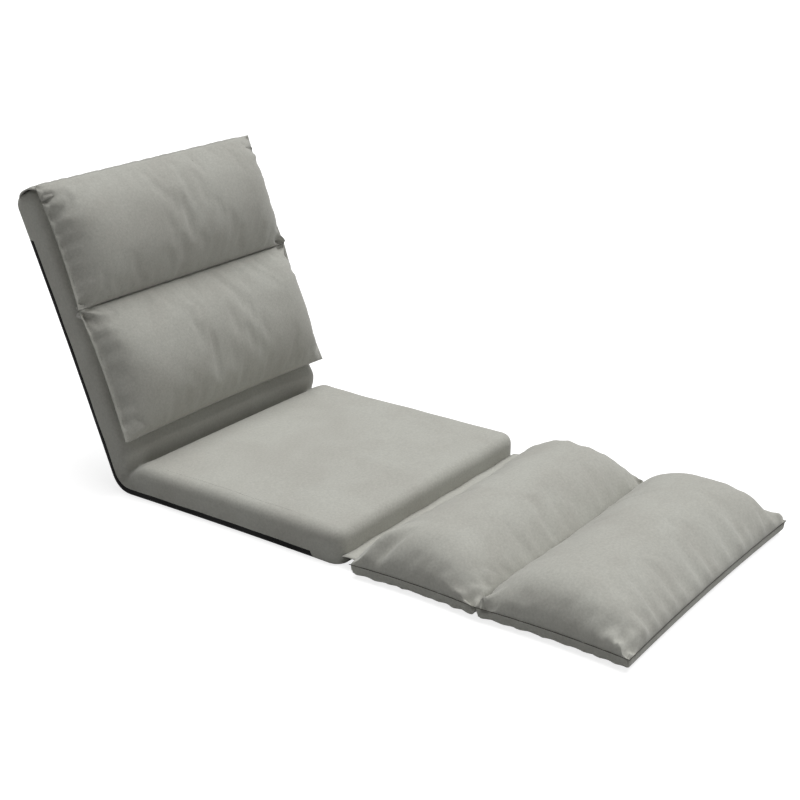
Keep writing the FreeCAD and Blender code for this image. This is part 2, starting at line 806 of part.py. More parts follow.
def build():
    """Every piece of the chair by its node name."""
    pieces = upholstery(
        "seat", SEAT_LENGTH, SEAT_THICKNESS, SEAT_CROWN, SEAT_CROSSBARS, SEAT_BASE_END, stay
    )
    pieces.update(
        upholstery(
            "back",
            BACK_LENGTH,
            BACK_THICKNESS,
            BACK_CROWN,
            BACK_CROSSBARS,
            BACK_BASE_END,
            to_back,
        )
    )
    pieces.update(hinge(1, "left"))
    pieces.update(hinge(-1, "right"))
    pieces.update(hinge_fasteners())
    pieces.update(pillow())
    pieces["pillow_wrap"] = pillow_wrap()
    pieces.update(leg_pad())
    return pieces


os.makedirs("parts", exist_ok=True)
for node, shape in build().items():
    shape.translate(Vector(0, SEAT_LENGTH / 2, 0))
    shape.exportStep("parts/" + node + ".step")
    box = shape.BoundBox
    print(
        node,
        "solids",
        len(shape.Solids),
        "volume",
        round(shape.Volume / 1000, 2),
        "cm3, valid",
        shape.isValid(),
        [round(v, 1) for v in (box.XMin, box.XMax, box.YMin, box.YMax, box.ZMin, box.ZMax)],
    )
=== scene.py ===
# %% [markdown]
# A folding floor chair has no legs: a padded seat lies on the floor, a backrest
# of the same width leans behind it on two hidden ratchet hinges, a stuffed
# pillow hangs over the backrest, and a stuffed leg pad lies in front. Nearly
# all that a visitor sees is cloth, so this lesson is about cloth: how it is
# cut, where it is sewn, and how it swells and puckers between its seams.
# First the measured model is loaded. Every later piece is placed in its frame.

# %% Load the measured model
import json
import math

import bmesh
import bpy
import numpy as np
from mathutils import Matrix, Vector


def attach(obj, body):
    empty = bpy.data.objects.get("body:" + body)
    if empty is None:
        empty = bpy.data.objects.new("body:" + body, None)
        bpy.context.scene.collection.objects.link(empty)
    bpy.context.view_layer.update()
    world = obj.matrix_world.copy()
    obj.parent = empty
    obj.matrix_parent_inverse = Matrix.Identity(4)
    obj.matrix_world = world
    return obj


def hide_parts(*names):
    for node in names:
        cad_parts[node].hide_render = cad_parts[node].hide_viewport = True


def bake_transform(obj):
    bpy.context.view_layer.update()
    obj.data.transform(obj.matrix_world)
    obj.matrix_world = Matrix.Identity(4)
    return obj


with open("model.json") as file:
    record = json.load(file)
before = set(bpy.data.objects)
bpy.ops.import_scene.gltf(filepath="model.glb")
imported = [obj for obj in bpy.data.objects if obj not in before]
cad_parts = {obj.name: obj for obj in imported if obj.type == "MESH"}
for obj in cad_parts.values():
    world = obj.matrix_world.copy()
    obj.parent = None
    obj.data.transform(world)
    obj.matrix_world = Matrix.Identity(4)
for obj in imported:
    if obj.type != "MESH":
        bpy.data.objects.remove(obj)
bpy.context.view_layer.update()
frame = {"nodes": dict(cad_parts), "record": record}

# %% [markdown]
# The camera comes first, because every later choice is judged through it. It
# stands about 2.9 metres away, in front and to the chair's right, and looks
# down by 21 degrees with a long lens, so that the far edges shrink only a
# little.

# %% Camera
LENS = 67.96
SENSOR_WIDTH = 36.0
CAMERA_PLACE = Vector((-2.06756, -1.68251, 1.18511))
CAMERA_AZIMUTH = math.radians(-54.04)
CAMERA_ELEVATION = math.radians(21.07)


def direction(azimuth, elevation):
    """Unit vector from the object towards a viewer."""
    level = math.cos(elevation)
    return Vector((math.sin(azimuth) * level, -math.cos(azimuth) * level, math.sin(elevation)))


camera_data = bpy.data.cameras.new("studio_camera")
camera_data.lens = LENS
camera_data.sensor_width = SENSOR_WIDTH
camera = bpy.data.objects.new("studio_camera", camera_data)
bpy.context.scene.collection.objects.link(camera)
camera.location = CAMERA_PLACE
look = -direction(CAMERA_AZIMUTH, CAMERA_ELEVATION)
camera.rotation_mode = "QUATERNION"
camera.rotation_quaternion = look.to_track_quat("-Z", "Y")
bpy.context.scene.camera = camera
bpy.context.scene.view_settings.view_transform = "Standard"
print("camera at", tuple(round(v, 2) for v in camera.location))

# %% [markdown]
# A few helpers for new objects, nodes and materials keep the later cells short.

# %% Small helpers


def add_object(name, data):
    """A new object with this data, linked to the scene."""
    thing = bpy.data.objects.new(name, data)
    bpy.context.scene.collection.objects.link(thing)
    return thing


def put(tree, kind, label="", inputs=None, **settings):
    """Adds a node, sets its options and its unlinked inputs, and links the rest."""
    node = tree.nodes.new(kind)
    node.label = label
    for name, value in settings.items():
        setattr(node, name, value)
    for name, value in (inputs or {}).items():
        socket = node.inputs[name]
        if isinstance(value, bpy.types.NodeSocket):
            tree.links.new(value, socket)
        else:
            socket.default_value = value
    return node


def calculate(tree, operation, *values):
    """The result of a math node."""
    inputs = dict(enumerate(values))
    return put(tree, "ShaderNodeMath", operation=operation, inputs=inputs).outputs[0]


def new_material(name):
    """An empty node material with its output node."""
    material = bpy.data.materials.new(name)
    material.use_nodes = True
    tree = material.node_tree
    tree.nodes.clear()
    return material, tree, put(tree, "ShaderNodeOutputMaterial")


# %% [markdown]
# A broad lamp overhead and a weak soft box in front light the chair. Ground and
# world are white to the eye only: the ground has a glow that just the camera
# sees, so that it still takes a shadow, and the world lights dimly.

# %% Ground and lamps
GROUND_GLOW = 0.80
GROUND_GREY = (0.46, 0.46, 0.46, 1)
GROUND_SINK = 0.0006
WHITE = (1, 1, 1, 1)
AMBIENT = 0.17
SUN_POWER = 2.8
SUN_SPREAD = math.radians(50)
SUN_WAY = Vector((-0.28, 0.02, -1.0))
BOX_POWER = 6
BOX_SIZE = 2.0
BOX_PLACE = Vector((1.6, -3.2, 1.9))
BOX_TARGET = Vector((0, 0, 0.3))


def seen_directly(tree):
    """1 where a ray comes straight from the camera, a mirror or glass, else 0."""
    path = put(tree, "ShaderNodeLightPath").outputs
    seen = path["Is Camera Ray"]
    for kind in ("Is Glossy Ray", "Is Transmission Ray"):
        seen = calculate(tree, "MAXIMUM", seen, path[kind])
    return seen


ground_material, tree, out = new_material("studio_ground")
plain = put(tree, "ShaderNodeBsdfDiffuse", inputs={"Color": GROUND_GREY})
strength = calculate(tree, "MULTIPLY", seen_directly(tree), GROUND_GLOW)
glow = put(tree, "ShaderNodeEmission", inputs={"Strength": strength})
both = put(tree, "ShaderNodeAddShader", inputs={0: plain.outputs[0], 1: glow.outputs[0]})
tree.links.new(both.outputs[0], out.inputs["Surface"])

bpy.ops.mesh.primitive_plane_add(size=60, location=(0, 0, -GROUND_SINK))
ground = bpy.context.object
ground.name = "studio_ground"
ground.data.materials.append(ground_material)

world = bpy.data.worlds.new("studio_world")
bpy.context.scene.world = world
world.use_nodes = True
world.node_tree.nodes.clear()
sky_out = put(world.node_tree, "ShaderNodeOutputWorld")
dim = put(world.node_tree, "ShaderNodeBackground",
          inputs={"Color": WHITE, "Strength": AMBIENT})
white = put(world.node_tree, "ShaderNodeBackground", inputs={"Color": WHITE, "Strength": 1.0})
pick = put(world.node_tree, "ShaderNodeMixShader",
           inputs={0: seen_directly(world.node_tree), 1: dim.outputs[0], 2: white.outputs[0]})
world.node_tree.links.new(pick.outputs[0], sky_out.inputs["Surface"])


def add_lamp(name, kind, power, way, place=(0, 0, 0), **settings):
    """A lamp of a kind that shines along a way."""
    lamp = bpy.data.lights.new(name, kind)
    lamp.energy = power
    for setting, value in settings.items():
        setattr(lamp, setting, value)
    thing = add_object(name, lamp)
    thing.location = place
    thing.rotation_mode = "QUATERNION"
    thing.rotation_quaternion = way.to_track_quat("-Z", "Y")


add_lamp("lamp_overhead", "SUN", SUN_POWER, SUN_WAY, angle=SUN_SPREAD)
add_lamp("lamp_front", "AREA", BOX_POWER, BOX_TARGET - BOX_PLACE, place=BOX_PLACE,
         shape="SQUARE", size=BOX_SIZE)

# %% [markdown]
# The cover is a short-napped brushed cloth. Three things make it read as such:
# a fine mottled grain of one to four millimetres, broad patches where the nap
# was stroked the other way, and a soft sheen at grazing angles. Grain and nap
# go into a shader group, because the grey cover, its thread and the black base
# cloth all use them with their own values. The sheen stays on the shader.

# %% A shader group for brushed cloth


def cloth_group():
    """Grain and stroked nap: puts out a colour, a roughness and a height."""
    group = bpy.data.node_groups.new("brushed_cloth", "ShaderNodeTree")
    face = group.interface
    for name, kind, default in (
        ("Colour", "NodeSocketColor", (0.5, 0.5, 0.5, 1)),
        ("Stroked Colour", "NodeSocketColor", (0.4, 0.4, 0.4, 1)),
        ("Grain Scale", "NodeSocketFloat", 500.0),
        ("Grain Depth", "NodeSocketFloat", 0.1),
        ("Nap Scale", "NodeSocketFloat", 9.0),
    ):
        face.new_socket(name, in_out="INPUT", socket_type=kind).default_value = default
    for name, kind in (
        ("Colour", "NodeSocketColor"),
        ("Roughness", "NodeSocketFloat"),
        ("Height", "NodeSocketFloat"),
    ):
        face.new_socket(name, in_out="OUTPUT", socket_type=kind)
    inside = put(group, "NodeGroupInput").outputs
    place = put(group, "ShaderNodeTexCoord").outputs["Object"]
    nap = put(group, "ShaderNodeTexNoise", "stroked patches",
              inputs={"Vector": place, "Scale": inside["Nap Scale"], "Detail": 3.0,
                      "Roughness": 0.55, "Distortion": 0.6})
    patches = put(group, "ShaderNodeMapRange",
                  inputs={0: nap.outputs[0], "From Min": 0.38, "From Max": 0.66})
    tone = put(group, "ShaderNodeMix", data_type="RGBA",
               inputs={0: patches.outputs[0], 6: inside["Stroked Colour"], 7: inside["Colour"]})
    grain = put(group, "ShaderNodeTexNoise", "grain",
                inputs={"Vector": place, "Scale": inside["Grain Scale"], "Detail": 4.0,
                        "Roughness": 0.7})
    level = calculate(group, "SUBTRACT", grain.outputs[0], 0.5)
    depth = calculate(group, "MULTIPLY_ADD", level, inside["Grain Depth"], 1.0)
    coloured = put(group, "ShaderNodeVectorMath", operation="SCALE",
                   inputs={0: tone.outputs[2], "Scale": depth})
    rough = put(group, "ShaderNodeMapRange",
                inputs={0: patches.outputs[0], "To Min": 0.96, "To Max": 0.84})
    result = put(group, "NodeGroupOutput").inputs
    group.links.new(coloured.outputs[0], result["Colour"])
    group.links.new(rough.outputs[0], result["Roughness"])
    group.links.new(grain.outputs[0], result["Height"])
    return group


BRUSHED_CLOTH = cloth_group()
print("shader group:", BRUSHED_CLOTH.name, "with", len(BRUSHED_CLOTH.nodes), "nodes")

# %% [markdown]
# Each cloth is that group with its own colours and grain. The grey thread is for
# stitches. The dark one is painted shade, laid as beads along the leg pad's sunk seams.

# %% Cloth materials
GRAIN_RELIEF = 0.0008


def cloth_material(name, colour, stroked, grain_scale, grain_depth, sheen, bump):
    """A brushed cloth with its own colours, grain and sheen."""
    material, tree, out = new_material(name)
    nap = put(tree, "ShaderNodeGroup", node_tree=BRUSHED_CLOTH)
    nap.inputs["Colour"].default_value = (*colour, 1)
    nap.inputs["Stroked Colour"].default_value = (*stroked, 1)
    nap.inputs["Grain Scale"].default_value = grain_scale
    nap.inputs["Grain Depth"].default_value = grain_depth
    relief = put(tree, "ShaderNodeBump",
                 inputs={"Strength": bump, "Distance": GRAIN_RELIEF,
                         "Height": nap.outputs["Height"]})
    cloth = put(tree, "ShaderNodeBsdfPrincipled",
                inputs={"Base Color": nap.outputs["Colour"],
                        "Roughness": nap.outputs["Roughness"], "Normal": relief.outputs[0],
                        "Sheen Weight": sheen, "Sheen Roughness": 0.45,
                        "Specular IOR Level": 0.15})
    tree.links.new(cloth.outputs[0], out.inputs["Surface"])
    return material


GREY_CLOTH = cloth_material(
    "warm_grey_brushed_cloth", (0.455, 0.455, 0.415), (0.425, 0.42, 0.382),
    grain_scale=230.0, grain_depth=0.50, sheen=0.25, bump=0.45)
BLACK_CLOTH = cloth_material(
    "black_base_cloth", (0.012, 0.012, 0.012), (0.007, 0.007, 0.007),
    grain_scale=900.0, grain_depth=0.5, sheen=0.05, bump=0.35)
# Painted shade: near-black beads along the leg pad's sunk seams darken them as their shadow would.
SEAM_PAINTED_SHADE = cloth_material(
    "painted_seam_shade", (0.10, 0.098, 0.09), (0.08, 0.078, 0.07),
    grain_scale=3000.0, grain_depth=0.5, sheen=0.0, bump=0.2)
THREAD = cloth_material(
    "grey_sewing_thread", (0.30, 0.295, 0.27), (0.24, 0.235, 0.21),
    grain_scale=3000.0, grain_depth=0.5, sheen=0.1, bump=0.2)
print("cloths:", [m.name for m in (GREY_CLOTH, BLACK_CLOTH, SEAM_PAINTED_SHADE, THREAD)])

# %% [markdown]
# The next cell holds the few measures that the cloth pieces share with the
# frame: the hinge line, the lean of the backrest, and three maps. Two turn a
# place on the backrest or on the floor in front of the hinge into a place in
# the room. The third folds a long flat slab at the hinge into seat and back.

# %% Places on the chair
HINGE = np.array((0.0, 0.2605, 0.020))
LEAN = math.radians(22.5)
UP_BACK = np.array((0.0, math.sin(LEAN), math.cos(LEAN)))
OFF_BACK = np.array((0.0, -math.cos(LEAN), math.sin(LEAN)))
FORWARD = np.array((0.0, -1.0, 0.0))
SEAT_LENGTH = 0.521
BACK_LENGTH = 0.567
SEAT_THICKNESS = 0.065
BACK_THICKNESS = 0.062
MITRE = 1.0 / math.tan(math.pi / 4 + LEAN / 2)
CREASE_ROUND = 0.003
HEEL_ROUND = 0.030
HEEL_HEIGHT = 0.050
WAVE_COUNT = 7


def smooth(t):
    """A soft step from 0 to 1."""
    t = np.clip(t, 0.0, 1.0)
    return t * t * (3.0 - 2.0 * t)


def hill(off, width):
    """A smooth hill: 1 in the middle, next to nothing two widths away."""
    return np.exp(-(off / width) ** 2)


def crowded(count, turn):
    """Shares from -1 to 1 that lie closer together towards both ends."""
    return np.sin(np.linspace(-1, 1, count) * turn) / math.sin(turn)


def on_back(x, up, out):
    """Room place of a point up the backrest and out from the hinge plane."""
    x, up, out = np.broadcast_arrays(x, up, out)
    spot = HINGE + up[..., None] * UP_BACK + out[..., None] * OFF_BACK
    spot[..., 0] = x
    return spot


def on_floor(x, along, height):
    """Room place of a point in front of the hinge line and above the floor."""
    return np.stack(np.broadcast_arrays(x, HINGE[1] - along, height), axis=-1)


def ripple(p, size, seed):
    """Smooth waves between -1 and 1 with no pattern that the eye can follow."""
    random = np.random.default_rng(seed)
    total = np.zeros(p.shape[:-1])
    for _ in range(WAVE_COUNT):
        way = random.normal(size=3)
        way *= random.uniform(0.6, 1.5) * 2 * math.pi / size / np.linalg.norm(way)
        total += np.sin(p @ way + random.uniform(0, 2 * math.pi))
    return total / 4.0


def fold_at_hinge(x, along, height):
    """Folds a flat slab: along < 0 is seat, along > 0 is backrest."""
    up = height - HINGE[2]
    corner_shift = up * MITRE
    corner = on_floor(x, corner_shift, height)
    seat_run = -along * (SEAT_LENGTH - corner_shift) / SEAT_LENGTH
    back_run = along * (BACK_LENGTH - corner_shift) / BACK_LENGTH
    roundness = CREASE_ROUND + HEEL_ROUND * (1 - smooth(height / HEEL_HEIGHT))
    t = np.clip((along + roundness) / (2 * roundness), 0, 1)
    seat_way = np.where(along < -roundness, seat_run, (1 - t) ** 2 * roundness)
    back_way = np.where(along > roundness, back_run, t ** 2 * roundness)
    seat_way = np.where(along > roundness, 0.0, seat_way)
    back_way = np.where(along < -roundness, 0.0, back_way)
    return corner + seat_way[..., None] * FORWARD + back_way[..., None] * UP_BACK


print("a point at the top of the back:", on_back(0.0, BACK_LENGTH, 0.0).round(3))

# %% [markdown]
# A mesh made from rows of points is easy to reason about: neighbours in the
# grid are neighbours in the cloth, so a seam is simply one row or one column.
# The helper below joins grids into an object and merges their shared edges.

# %% From grids to objects
WELD_DISTANCE = 1e-5


def quads(rows, columns, start=0, flip=False):
    """Faces of a grid of rows by columns whose first point has index start."""
    index = start + np.arange(rows * columns).reshape(rows, columns)
    a, b = index[:-1, :-1].ravel(), index[1:, :-1].ravel()
    c, d = index[1:, 1:].ravel(), index[:-1, 1:].ravel()
    faces = np.stack((a, b, c, d), axis=1)
    return faces[:, ::-1] if flip else faces


def edit_mesh(thing, change):
    """Opens an object's mesh, lets a function change it and writes it back."""
    work = bmesh.new()
    work.from_mesh(thing.data)
    change(work)
    work.to_mesh(thing.data)
    work.free()


def merge_doubles(work):
    """Merges doubled points and turns all faces the same way."""
    bmesh.ops.remove_doubles(work, verts=work.verts, dist=WELD_DISTANCE)
    bmesh.ops.recalc_face_normals(work, faces=work.faces)


def look_outwards(work):
    """Turns the faces of a closed mesh outwards."""
    if work.calc_volume(signed=True) < 0:
        bmesh.ops.reverse_faces(work, faces=work.faces)


def drop_loose_points(work):
    """Deletes the points that no face uses."""
    loose = [v for v in work.verts if not v.link_faces]
    bmesh.ops.delete(work, geom=loose, context="VERTS")


def cloth_object(name, points, faces, material):
    """A smooth shaded object whose doubled points are merged."""
    mesh = bpy.data.meshes.new(name)
    mesh.from_pydata([tuple(p) for p in points], [], [tuple(int(i) for i in f) for f in faces])
    mesh.materials.append(material)
    thing = add_object(name, mesh)
    edit_mesh(thing, merge_doubles)
    mesh.polygons.foreach_set("use_smooth", [True] * len(mesh.polygons))
    mesh.update()
    return thing


def finish_modifiers(thing):
    """Bakes an object's modifiers into its mesh."""
    graph = bpy.context.evaluated_depsgraph_get()
    mesh = bpy.data.meshes.new_from_object(thing.evaluated_get(graph))
    thing.modifiers.clear()
    old = thing.data
    thing.data = mesh
    mesh.name = thing.name
    bpy.data.meshes.remove(old)
    return thing


def thicken(sheet, thickness):
    """Gives a sheet its thickness and bakes it."""
    wall = sheet.modifiers.new("cloth_thickness", "SOLIDIFY")
    wall.thickness = thickness
    wall.offset = 0.0
    return finish_modifiers(sheet)


# %% [markdown]
# Seat and backrest share one cover. The real one is a long bag, closed with
# the foam inside, that runs through the fold: a deep crease on the inner side
# and a rounded heel on the outer. Here a flat slab is built as rings, from its
# underside up its walls and round its edges to the crowned top, and then it is
# folded at the hinge. Cutting the same skin at a fixed height gives the black
# base cloth and the grey cover, so that they meet in one clean line.

# %% The slab's skin
SLAB_HALF = 0.280
WAIST = 0.003
PLAN_CORNER = 0.026
LEAST_CORNER = 0.003
TOP_ROUND = 0.022
LOW_ROUND = 0.008
BAND = 0.014
SEAT_CROWN, BACK_CROWN = 0.004, 0.003
CROWN_RUN = 0.12
FOLD_HALF = 0.045
THICKNESS_RUN = 0.04
SEAT_BLACK_END = 0.455
BACK_BLACK_END = 0.478
BAND_SLANT = 0.008
FROM_FLOOR, UP_WALL, FROM_TOP = range(3)
TINY = 1e-9


def slab_lines():
    """Places of the grid lines along the slab, close together at the fold."""
    seat = np.linspace(-SEAT_LENGTH, -FOLD_HALF, 60)
    fold = np.linspace(-FOLD_HALF, FOLD_HALF, 31)
    back = np.linspace(FOLD_HALF, BACK_LENGTH, 64)
    lines = np.concatenate((seat[:-1], fold, back[1:]))
    for spot in (-SEAT_BLACK_END, BACK_BLACK_END):
        lines[np.argmin(abs(lines - spot))] = spot
    return lines


def outline(x_share, along, inset):
    """The slab's plan, drawn in by an inset: waisted sides, round corners."""
    low, high = -SEAT_LENGTH + inset, BACK_LENGTH - inset
    along = np.clip(along, low, high)
    seat_part = np.sin(math.pi * np.clip(-along / SEAT_LENGTH, 0, 1))
    back_part = np.sin(math.pi * np.clip(along / BACK_LENGTH, 0, 1))
    half = SLAB_HALF - inset - WAIST * (seat_part + back_part)
    radius = max(PLAN_CORNER - inset, LEAST_CORNER)
    x = x_share * half
    core_x = np.clip(x, -(half - radius), half - radius)
    core_a = np.clip(along, low + radius, high - radius)
    off = np.stack((x - core_x, along - core_a), axis=-1)
    length = np.linalg.norm(off, axis=-1)
    in_corner = (abs(off[..., 0]) > TINY) & (abs(off[..., 1]) > TINY)
    shrink = np.where(in_corner & (length >= radius), radius / np.maximum(length, TINY), 1.0)
    return core_x + off[..., 0] * shrink, core_a + off[..., 1] * shrink


def thickness(along):
    """Thickness of the slab: the seat's, then the backrest's."""
    change = smooth(along / THICKNESS_RUN + 0.5)
    return SEAT_THICKNESS + (BACK_THICKNESS - SEAT_THICKNESS) * change


def rounding(radius, kind, turns):
    """Insets and heights of the rings round an edge of the slab."""
    turns = np.radians(turns)
    return [(radius * (1 - math.cos(t)), kind, radius * (1 - math.sin(t))) for t in turns]


def skin_levels():
    """The rings: round the lower edge, up the wall and over the top edge."""
    low = rounding(LOW_ROUND, FROM_FLOOR, (90, 60, 30, 0))
    wall = [(0.0, UP_WALL, share) for share in (0.25, 0.5, 0.75)]
    return low + [(0.0, FROM_FLOOR, BAND)] + wall + rounding(TOP_ROUND, FROM_TOP, range(0, 91, 15))


def ring_height(kind, value, along):
    """Height of a ring, given from the floor, up the wall or from the top."""
    top = thickness(along)
    if kind == FROM_FLOOR:
        return np.full_like(along, value)
    if kind == UP_WALL:
        return BAND + (top - TOP_ROUND - BAND) * value
    return top - value


def crowned_top(x, along):
    """Height of the top panel, which rises a little towards its middle."""
    half = SLAB_HALF - TOP_ROUND
    crown = np.where(along < 0, SEAT_CROWN, BACK_CROWN)
    end = np.minimum(along + SEAT_LENGTH - TOP_ROUND, BACK_LENGTH - TOP_ROUND - along)
    return thickness(along) + crown * (1 - (x / half) ** 4) * smooth(end / CROWN_RUN)


def slab_skin():
    """Points, faces and black marks of the whole flat skin."""
    lines = slab_lines()
    across = crowded(61, math.pi / 2 * 0.80)
    rows, columns = len(lines), len(across)
    ends = np.ones(columns - 2)
    ring_a = np.concatenate((lines, ends * lines[-1], lines[::-1], ends * lines[0]))
    ring_x = np.concatenate((np.ones(rows), across[-2:0:-1], -np.ones(rows), across[1:-1]))
    ring = len(ring_a)
    here = np.arange(ring)
    beside = np.roll(here, -1)
    levels = skin_levels()
    points, faces, black = [], [], []
    for inset, kind, value in levels:
        x, a = outline(ring_x, ring_a, inset)
        points.append(np.stack((x, a, ring_height(kind, value, a)), axis=-1))
    for k, (_, kind, _) in enumerate(levels[1:]):
        corners = (here, beside, beside + ring, here + ring)
        faces.append(k * ring + np.stack(corners, axis=1))
        black.append(np.full(ring, kind == FROM_FLOOR))
    count = len(levels) * ring
    grid_a, grid_x = np.meshgrid(lines, across, indexing="ij")
    for inset, is_top in ((LOW_ROUND, False), (TOP_ROUND, True)):
        x, a = outline(grid_x, grid_a, inset)
        height = crowned_top(x, a) if is_top else np.zeros_like(a)
        points.append(np.stack((x, a, height), axis=-1).reshape(-1, 3))
        faces.append(quads(rows, columns, count, flip=not is_top))
        black.append(np.full((rows - 1) * (columns - 1), not is_top))
        count += rows * columns
    return np.concatenate(points), np.concatenate(faces), np.concatenate(black)


flat, skin_faces, is_black = slab_skin()
middle = flat[skin_faces].mean(axis=1)
is_black &= (middle[:, 1] > -SEAT_BLACK_END) & (middle[:, 1] < BACK_BLACK_END)
print("flat skin:", len(flat), "points")

# %% [markdown]
# Foam under cloth is never quite even, so the skin gets slow waves. At the fold
# its sides are pinched in and its top sinks into a crease, less deep over the
# hinge plates, which need room to move. Only then is the slab folded.

# %% The folded slab
TOP_WAVE, TOP_WAVE_SIZE = 0.0012, 0.23
SIDE_WAVE, SIDE_WAVE_SIZE = 0.0010, 0.11
SIDE_START = 0.24
FOLD_PINCH, FOLD_PINCH_WIDTH = 0.008, 0.012
FOLD_BULGE, FOLD_BULGE_WIDTH, FOLD_BULGE_PLACE = 0.003, 0.016, 0.030
CREASE_DEPTH = 0.026
CREASE_WIDTH = 0.026
CREASE_START, CREASE_RUN = 0.030, 0.035
HINGE_OUT, HINGE_WIDTH = 0.250, 0.018
HINGE_ROOM = 0.45


def crease(x, along, height):
    """Sinks what lies above the hinge towards it, less deep over the hinge plates."""
    near = np.clip(1 - abs(along) / CREASE_WIDTH, 0, 1) ** 2
    share = np.clip((height - CREASE_START) / CREASE_RUN, 0, 1)
    over_hinge = hill(abs(x) - HINGE_OUT, HINGE_WIDTH)
    return height - CREASE_DEPTH * near * share * (1 - HINGE_ROOM * over_hinge)


def soften(flat):
    """Small unevenness of foam under cloth, before the slab is folded."""
    x, a, h = flat.T
    h = h + smooth((h - 0.02) / 0.03) * TOP_WAVE * ripple(flat * (1, 1, 0.3), TOP_WAVE_SIZE, 3)
    side = np.sign(x) * smooth((abs(x) - SIDE_START) / 0.03)
    wavy = ripple(flat * (0.2, 1, 1), SIDE_WAVE_SIZE, 5) * smooth(h / 0.02)
    x = x + side * SIDE_WAVE * wavy
    drawn_in = hill(a, FOLD_PINCH_WIDTH) * smooth((h - 0.012) / 0.02)
    pushed_out = hill(abs(a) - FOLD_BULGE_PLACE, FOLD_BULGE_WIDTH) * smooth((h - 0.012) / 0.03)
    x = x - side * FOLD_PINCH * drawn_in + side * FOLD_BULGE * pushed_out
    return x, a, crease(x, a, h)


slant = np.clip(1 - flat[:, 2] / BAND, 0, 1) * BAND_SLANT
near_seat_end = abs(flat[:, 1] + SEAT_BLACK_END) < 1e-6
near_back_end = abs(flat[:, 1] - BACK_BLACK_END) < 1e-6
flat[:, 1] += np.where(near_seat_end, -slant, 0) + np.where(near_back_end, slant, 0)
skin_points = fold_at_hinge(*soften(flat))
chair_cover = cloth_object("chair_cover", skin_points, skin_faces[~is_black], GREY_CLOTH)
base_cloth = cloth_object("base_cloth", skin_points, skin_faces[is_black], BLACK_CLOTH)
for thing in (chair_cover, base_cloth):
    edit_mesh(thing, drop_loose_points)
print("cover:", len(chair_cover.data.polygons), "base:", len(base_cloth.data.polygons), "faces")

# %% [markdown]
# A stuffed channel is two panels sewn together round their edge. Pressed
# outwards, a panel can only swell if its edge draws in, and because the edge
# is sewn to a fixed length, the spare cloth gathers into puckers that run away
# from the seam. The channel is drawn as a pair of grids, and a cloth
# simulation blows it up from inside with its seams held.

# %% Stuffed channels
PANEL_ROWS, PANEL_COLUMNS = 45, 97
SIDE_PULL = 0.006
END_RUN = 0.085
LOW_WALL = 0.024
LIP, LIP_RUN = 0.0009, 0.002


def rounded_end(from_side):
    """Share of the full height at a distance from a channel's closed side."""
    return (1 - (1 - np.clip(from_side / END_RUN, 0, 1)) ** 2.3) ** 0.62


class Channel:
    """Two panels between four seams, in flat sizes: across, along, height."""

    def __init__(self, half, first, last, heights, pulls, flange=0.0):
        self.half, self.first, self.last = half, first, last
        self.seam, self.rise, self.drop = heights
        self.pulls, self.flange = pulls, flange
        self.centre, self.reach = (first + last) / 2, (last - first) / 2

    def shares(self):
        """Grid of shares along and across, closer together at the seams."""
        return np.meshgrid(crowded(PANEL_ROWS, 1.25), crowded(PANEL_COLUMNS, 1.30), indexing="ij")

    def from_side(self):
        """Distance of each grid point from the nearer side seam."""
        return (1 - abs(self.shares()[1])) * self.half

    def from_end(self):
        """Distance of each grid point from the nearer end seam."""
        return (1 - abs(self.shares()[0])) * self.reach

    def from_edge(self):
        """Distance of each grid point from the nearest seam."""
        return np.minimum(self.from_side(), self.from_end())

    def plan(self):
        """Place of each grid point in the plan, with drawn-in sides."""
        t, s = self.shares()
        pull = np.where(t < 0, self.pulls[0], self.pulls[1])
        x = s * (self.half - SIDE_PULL * (1 - t ** 2))
        return x, self.centre + t * (self.reach - pull * (1 - s ** 2))

    def fullness(self):
        """Share of the full height: 0 at the seams, 1 over most of the channel."""
        t = self.shares()[0]
        return (1 - abs(t) ** 2.2) ** 0.72 * rounded_end(self.from_side() - self.flange)

    def panels(self):
        """Upper and lower grids of points."""
        x, along = self.plan()
        lip = LIP * smooth(self.from_edge() / LIP_RUN)
        high = self.seam + lip + (self.rise - LIP) * self.fullness()
        steep = 1 - np.clip((self.from_edge() - self.flange) / LOW_WALL, 0, 1)
        low = self.seam - lip - (self.drop - LIP) * np.sqrt(1 - steep ** 2)
        return np.stack((x, along, high), axis=-1), np.stack((x, along, low), axis=-1)


# %% [markdown]
# Puckers are small ridges that start at a seam and fade inwards, each with its
# own width, length and lean. Where a crease ends in a side seam the cloth is
# bunched, which shows as a star of folds round that corner.

# %% Puckers and pinches
PUCKER_WIDTHS = (0.0045, 0.0085)
PINCH_FOLDS = 7


def pleats(length, across, inward, count, depth, reach, seed, slant=0.3, strong=None):
    """Height of puckers that start at a seam and fade inwards from it.

    Strong gives their size at a place along the seam, from -1 to 1.
    """
    random = np.random.default_rng(seed)
    spots = (np.arange(count) + random.uniform(0.2, 0.8, count)) / count * length - length / 2
    total = np.zeros_like(across)
    for spot in spots:
        share = strong(2 * spot / length) if strong else 1.0
        width = random.uniform(*PUCKER_WIDTHS)
        strength = random.uniform(0.35, 1.0) * share
        run = reach * random.uniform(0.5, 1.2) * (0.6 + 0.5 * share)
        lean = slant * random.uniform(0.3, 1.3)
        off = (across - spot - lean * inward) / (width * (1 + inward / reach))
        total += strength * (hill(off, 1) - 0.6 * hill(off - 1.8, 1)) * hill(inward, run)
    return depth * total


def pinch(x, along, corner, reach, depth, seed):
    """Star of folds round the end of a crease, where cloth is bunched into a seam."""
    random = np.random.default_rng(seed)
    off_x, off_a = x - corner[0], along - corner[1]
    angle = np.arctan2(off_a, off_x)
    waves = np.zeros_like(x)
    for _ in range(3):
        folds = PINCH_FOLDS * random.uniform(0.6, 1.4)
        waves += np.sin(folds * angle + random.uniform(0, 6.28))
    return depth * hill(np.hypot(off_x, off_a), reach) * (waves / 2 - 0.6)


